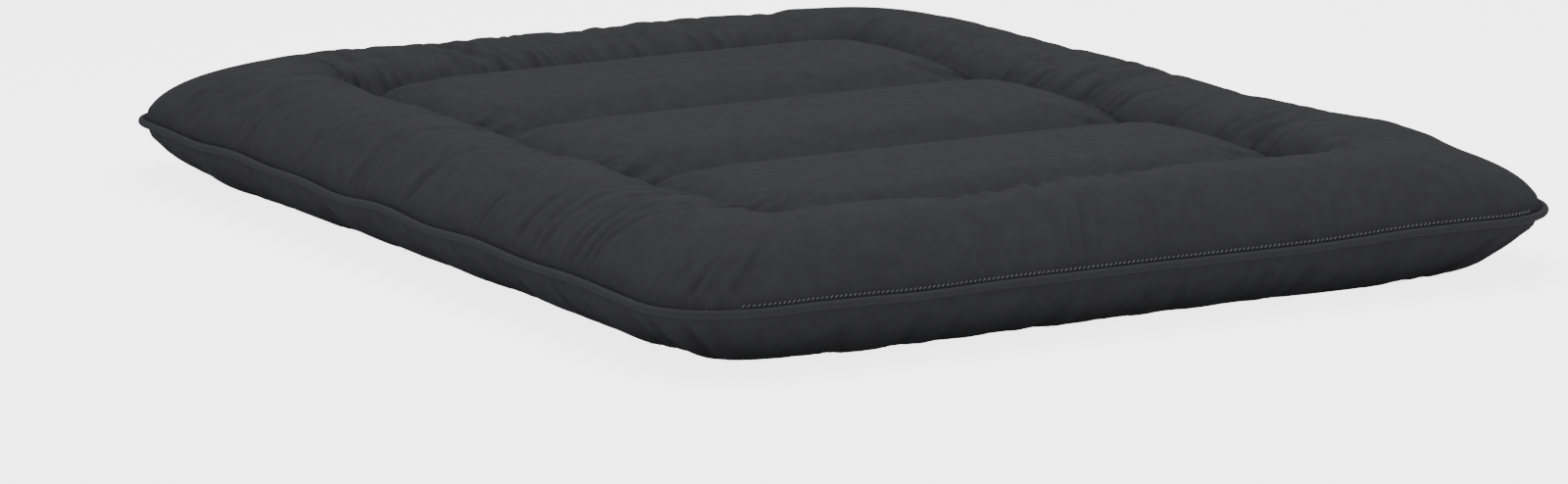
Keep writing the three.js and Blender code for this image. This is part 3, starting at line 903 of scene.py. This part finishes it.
class FUTON_OT_baffles(bpy.types.Operator):
    """Hang a strip of calico between the covers under every crease"""

    bl_idname = "futon.baffles"
    bl_label = "Baffles"

    def execute(self, context):
        calico = material(unbleached_calico, context.scene.futon_filling.baffle_colour)

        def across(name, reach, y):
            return baffle(name, (-reach, y), (reach, y), calico)

        for end, side in ENDS:
            outer = across(f"calico_baffle_{end}", CREASE_X, side * CREASE_Y)
            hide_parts(f"baffle_{end}")
            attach(outer, end)
            cross = across(f"calico_baffle_cross_{end}", CREASE_X - SEWN_ROOM, side * CROSS_Y)
            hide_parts(f"baffle_cross_{end}")
            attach(cross, "middle")
        for hand, side_x in SIDES:
            strips = []
            for end, side in ENDS:
                x, far = side_x * CREASE_X, side * (CREASE_Y - SEWN_ROOM)
                strip = baffle(f"calico_baffle_{hand}_{end}_half", (x, min(0, far)), (x, max(0, far)), calico)
                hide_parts(f"baffle_{hand}_{end}", f"baffle_{hand}_middle")
                strips.append(strip)
            bend(strips)
        return {"FINISHED"}


# ---------------------------------------------------------------- geometry node trees


def new_tree(name, sizes):
    """A geometry node tree with one mesh in, one mesh out, a material and named sizes."""
    tree = bpy.data.node_groups.new(name, "GeometryNodeTree")
    tree.interface.new_socket("Geometry", in_out="INPUT", socket_type="NodeSocketGeometry")
    tree.interface.new_socket("Geometry", in_out="OUTPUT", socket_type="NodeSocketGeometry")
    tree.interface.new_socket("Material", in_out="INPUT", socket_type="NodeSocketMaterial")
    for label, value in sizes:
        socket = tree.interface.new_socket(label, in_out="INPUT", socket_type="NodeSocketFloat")
        socket.default_value = value
        socket.subtype = "DISTANCE"
    return tree, add_node(tree, "NodeGroupInput"), add_node(tree, "NodeGroupOutput")


def end_tree(tree, given, result, geometry):
    """Ends a tree in Realize Instances and Set Material."""
    real = add_node(tree, "GeometryNodeRealizeInstances", [("Geometry", geometry)])
    parts = [("Geometry", real.outputs[0]), ("Material", given.outputs["Material"])]
    dressed = add_node(tree, "GeometryNodeSetMaterial", parts)
    tree.links.new(dressed.outputs[0], result.inputs["Geometry"])


def stitch_tree():
    """Lays one stitch after another along a path, each a short run of thread that narrows at its ends."""
    sizes = (("Spacing", 0.006), ("Stitch Length", 0.005), ("Thread Diameter", 0.0016), ("Slant", 0.0))
    tree, given, result = new_tree("Stitch Row", sizes)
    path = add_node(tree, "GeometryNodeMeshToCurve", [("Mesh", given.outputs["Geometry"])])
    steps = [("Curve", path.outputs[0]), ("Length", given.outputs["Spacing"])]
    points = add_node(tree, "GeometryNodeResampleCurve", steps, mode="LENGTH")
    ball = add_node(tree, "GeometryNodeMeshUVSphere", segments=6, rings=6, radius=0.5)
    thick = given.outputs["Thread Diameter"]
    extents = [("X", given.outputs["Stitch Length"]), ("Y", thick), ("Z", thick)]
    size = add_node(tree, "ShaderNodeCombineXYZ", extents)
    shape = [("Geometry", ball.outputs["Mesh"]), ("Scale", size.outputs[0])]
    stitch = add_node(tree, "GeometryNodeTransform", shape)
    along = add_node(tree, "GeometryNodeInputTangent")
    up = add_node(tree, "ShaderNodeCombineXYZ", [("Z", given.outputs["Slant"])])
    aim = add_node(tree, "ShaderNodeVectorMath", [(0, along.outputs[0]), (1, up.outputs[0])], operation="ADD")
    turned = add_node(tree, "FunctionNodeAlignRotationToVector", [("Vector", aim.outputs[0])], axis="X")
    parts = [("Points", points.outputs[0]), ("Instance", stitch.outputs[0]), ("Rotation", turned.outputs[0])]
    row = add_node(tree, "GeometryNodeInstanceOnPoints", parts)
    end_tree(tree, given, result, row.outputs[0])
    return tree


def piping_tree():
    """Wraps a path in a round cord."""
    tree, given, result = new_tree("Piping", (("Diameter", PIPING_THICKNESS),))
    path = add_node(tree, "GeometryNodeMeshToCurve", [("Mesh", given.outputs["Geometry"])])
    halved = [(0, given.outputs["Diameter"]), (1, 2.0)]
    radius = add_node(tree, "ShaderNodeMath", halved, operation="DIVIDE")
    round_section = [("Resolution", PIPING_SIDES), ("Radius", radius.outputs[0])]
    ring = add_node(tree, "GeometryNodeCurvePrimitiveCircle", round_section)
    parts = [("Curve", path.outputs[0]), ("Profile Curve", ring.outputs[0]), ("Fill Caps", True)]
    cord = add_node(tree, "GeometryNodeCurveToMesh", parts)
    end_tree(tree, given, result, cord.outputs[0])
    return tree


def along_path(name, points, tree, finish, sizes):
    """A piece that a node tree makes along a path, as a plain mesh."""
    steps = [(n, n + 1) for n in range(len(points) - 1)]
    mesh = bpy.data.meshes.new(name)
    mesh.from_pydata(np.asarray(points).tolist(), steps, [])
    piece = bpy.data.objects.new(name, mesh)
    bpy.context.scene.collection.objects.link(piece)
    modifier = piece.modifiers.new("Nodes", "NODES")
    modifier.node_group = tree
    sockets = {s.name: s.identifier for s in tree.interface.items_tree if s.in_out == "INPUT"}
    modifier[sockets["Material"]] = finish
    for label, value in sizes.items():
        modifier[sockets[label]] = value
    plain_mesh(piece)
    piece.data.shade_smooth()
    return piece


# ---------------------------------------------------------------- piping


def outline_path(side, offset):
    """The outline from y = 0 round one end and back to y = 0, moved outwards by offset."""
    grid = QuiltGrid(PIPING_GRID, inset=-offset)
    places = np.dstack([grid.x, grid.y, seam_height(grid)])
    half = grid.rings + grid.rows // 2
    if side < 0:
        parts = (places[half:0:-1, 0], places[0, :-1], places[: half + 1, -1])
    else:
        parts = (places[half:-1, 0], places[-1, :-1], places[: half - 1 : -1, -1])
    return np.concatenate(parts)


class FUTON_OT_piping(bpy.types.Operator):
    """Run the piping round the seam between the covers"""

    bl_idname = "futon.piping"
    bl_label = "Piping"

    def execute(self, context):
        tree = piping_tree()
        # painted highlight: the piping's colour is the ticking's made paler, standing for the light that its
        # rib catches from above
        finish = material(piping_cloth, shade(context.scene.futon_cover.colour, PIPING_PAINTED_HIGHLIGHT))
        lengths = []
        for end, side in ENDS:
            path = outline_path(side, PIPING_THICKNESS / 2 - PIPING_TUCK)
            piece = along_path(f"piping_{end}_half", path, tree, finish, {"Diameter": PIPING_THICKNESS})
            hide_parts(f"piping_{end}", "piping_left", "piping_right")
            lengths.append(piece)
        bend(lengths)
        return {"FINISHED"}


# ---------------------------------------------------------------- stitching


def smooth_top():
    """A grid and the top cover's points on it, without gathers."""
    grid = QuiltGrid(CREASE_GRID)
    return grid, np.dstack([grid.x, grid.y, top_surface(grid)])


def cross_path(number):
    """The line of a crease that runs across, counted from 0 at the foot end."""
    grid, places = smooth_top()
    return places[grid.rings + number * grid.band_rows, grid.rings : grid.rings + grid.columns + 1]


def side_path(side_x, side_y):
    """The line of the foot or head half of the crease beside a border roll."""
    grid, places = smooth_top()
    column = grid.rings if side_x < 0 else grid.rings + grid.columns
    line = places[grid.rings : grid.rings + grid.rows + 1, column]
    return line[side_y * line[:, 1] >= -ROUNDING]


class FUTON_OT_stitching(bpy.types.Operator):
    """Sew the covers to the baffles along every crease"""

    bl_idname = "futon.stitching"
    bl_label = "Stitching"

    def execute(self, context):
        settings = context.scene.futon_thread
        tree = stitch_tree()
        thread = material(spun_thread, "thread_spun_polyester", settings.colour)
        sizes = {
            "Spacing": settings.spacing,
            "Stitch Length": settings.length,
            "Thread Diameter": settings.diameter,
        }
        lift = np.array([0, 0, settings.diameter / 2])

        def row(name, path):
            piece = along_path(name, path + lift, tree, thread, sizes)
            return piece

        for (end, _), outermost, inner in zip(ENDS, (0, 3), (1, 2)):
            outer = row(f"crease_stitches_{end}", cross_path(outermost))
            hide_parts(f"stitching_{end}")
            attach(outer, end)
            cross = row(f"crease_stitches_cross_{end}", cross_path(inner))
            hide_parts(f"stitching_cross_{end}")
            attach(cross, "middle")
        for hand, side_x in SIDES:
            runs = []
            for end, side in ENDS:
                run = row(f"crease_stitches_{hand}_{end}_half", side_path(side_x, side))
                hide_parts(f"stitching_{hand}_{end}", f"stitching_{hand}_middle")
                runs.append(run)
            bend(runs)
        return {"FINISHED"}


class FUTON_OT_closing_seam(bpy.types.Operator):
    """Sew up the foot end's opening with slanting stitches just above the piping"""

    bl_idname = "futon.closing_seam"
    bl_label = "Closing Seam"

    def execute(self, context):
        settings = context.scene.futon_thread
        low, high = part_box("closing_seam")
        line = smooth_top()[1][0]
        keep = np.abs(line[:, 0]) < high.x + CLOSING_EXTRA
        path = line[keep] + np.array([0, -CLOSING_OUT, low.z + (high.z - low.z) / 2 - SEAM_Z])
        thread = material(spun_thread, "thread_closing_seam", settings.closing_colour)
        sizes = {
            "Spacing": settings.closing_spacing,
            "Stitch Length": settings.closing_length,
            "Thread Diameter": settings.diameter,
            "Slant": CLOSING_SLANT,
        }
        piece = along_path("closing_stitches", path, stitch_tree(), thread, sizes)
        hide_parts("closing_seam")
        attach(piece, "foot")
        return {"FINISHED"}


# ---------------------------------------------------------------- studio


def softbox(name, place, aim, width, depth, power):
    """A rectangular soft light that points from place to aim."""
    lamp = bpy.data.lights.new(name, "AREA")
    lamp.shape, lamp.size, lamp.size_y, lamp.energy = "RECTANGLE", width, depth, power
    light = bpy.data.objects.new(name, lamp)
    turn = (aim - place).to_track_quat("-Z", "Y").to_matrix().to_4x4()
    light.matrix_world = Matrix.Translation(place) @ turn
    bpy.context.scene.collection.objects.link(light)


class FUTON_OT_studio(bpy.types.Operator):
    """Set up a pale studio floor, soft light from above and the camera"""

    bl_idname = "futon.studio"
    bl_label = "Studio"

    def execute(self, context):
        settings = context.scene.futon_studio
        half = FLOOR_HALF
        corners = [(x, y, FLOOR_Z) for x, y in ((-half, -half), (half, -half), (half, half), (-half, half))]
        floor = new_piece("studio_floor", corners, [(0, 1, 2, 3)], material(seamless_paper, "#F6F6F6"))
        for name, place, width, depth, share in SOFTBOXES:
            softbox(name, Vector(place), Vector((0, 0, SEAM_Z)), width, depth, share * settings.light)
        world = bpy.data.worlds.new("studio_air")
        world.use_nodes = True
        air = world.node_tree.nodes["Background"]
        air.inputs["Color"].default_value = (1, 1, 1, 1)
        air.inputs["Strength"].default_value = settings.air
        context.scene.world = world

        lens = bpy.data.cameras.new("camera")
        lens.lens, lens.sensor_width = settings.lens, SENSOR_WIDTH
        lens.shift_x, lens.shift_y = settings.shift
        lens.clip_end = FARTHEST_SEEN
        camera = bpy.data.objects.new("camera", lens)
        flat = math.cos(settings.pitch)
        heading = (flat * math.cos(settings.yaw), flat * math.sin(settings.yaw))
        ahead = Vector((*heading, math.sin(settings.pitch)))
        turn = ahead.to_track_quat("-Z", "Y").to_matrix().to_4x4() @ Matrix.Rotation(settings.roll, 4, "Z")
        camera.matrix_world = Matrix.Translation(Vector(settings.camera)) @ turn
        context.scene.collection.objects.link(camera)
        context.scene.camera = camera
        return {"FINISHED"}


# ---------------------------------------------------------------- panel and registration


STEPS = (
    FUTON_OT_studio,
    FUTON_OT_filling,
    FUTON_OT_baffles,
    FUTON_OT_top_cover,
    FUTON_OT_bottom_cover,
    FUTON_OT_piping,
    FUTON_OT_stitching,
    FUTON_OT_closing_seam,
)
SETTINGS = {
    "futon_cover": FutonCover,
    "futon_filling": FutonFilling,
    "futon_thread": FutonThread,
    "futon_studio": FutonStudio,
}


class FUTON_PT_panel(bpy.types.Panel):
    """Sizes, colours and pieces of the futon"""

    bl_label = "Floor Futon"
    bl_idname = "FUTON_PT_panel"
    bl_space_type = "VIEW_3D"
    bl_region_type = "UI"
    bl_category = "Futon"

    def draw(self, context):
        for name, group in SETTINGS.items():
            box = self.layout.box()
            for key in group.__annotations__:
                box.prop(getattr(context.scene, name), key)
        for step in STEPS:
            self.layout.operator(step.bl_idname)


CLASSES = (*SETTINGS.values(), *STEPS, FUTON_PT_panel)


def register():
    for cls in CLASSES:
        bpy.utils.register_class(cls)
    for name, group in SETTINGS.items():
        setattr(bpy.types.Scene, name, PointerProperty(type=group))


def unregister():
    for name in SETTINGS:
        delattr(bpy.types.Scene, name)
    for cls in reversed(CLASSES):
        bpy.utils.unregister_class(cls)


def main():
    register()
    for step in STEPS:
        group, call = step.bl_idname.split(".")
        getattr(getattr(bpy.ops, group), call)()


if __name__ == "__main__":
    main()
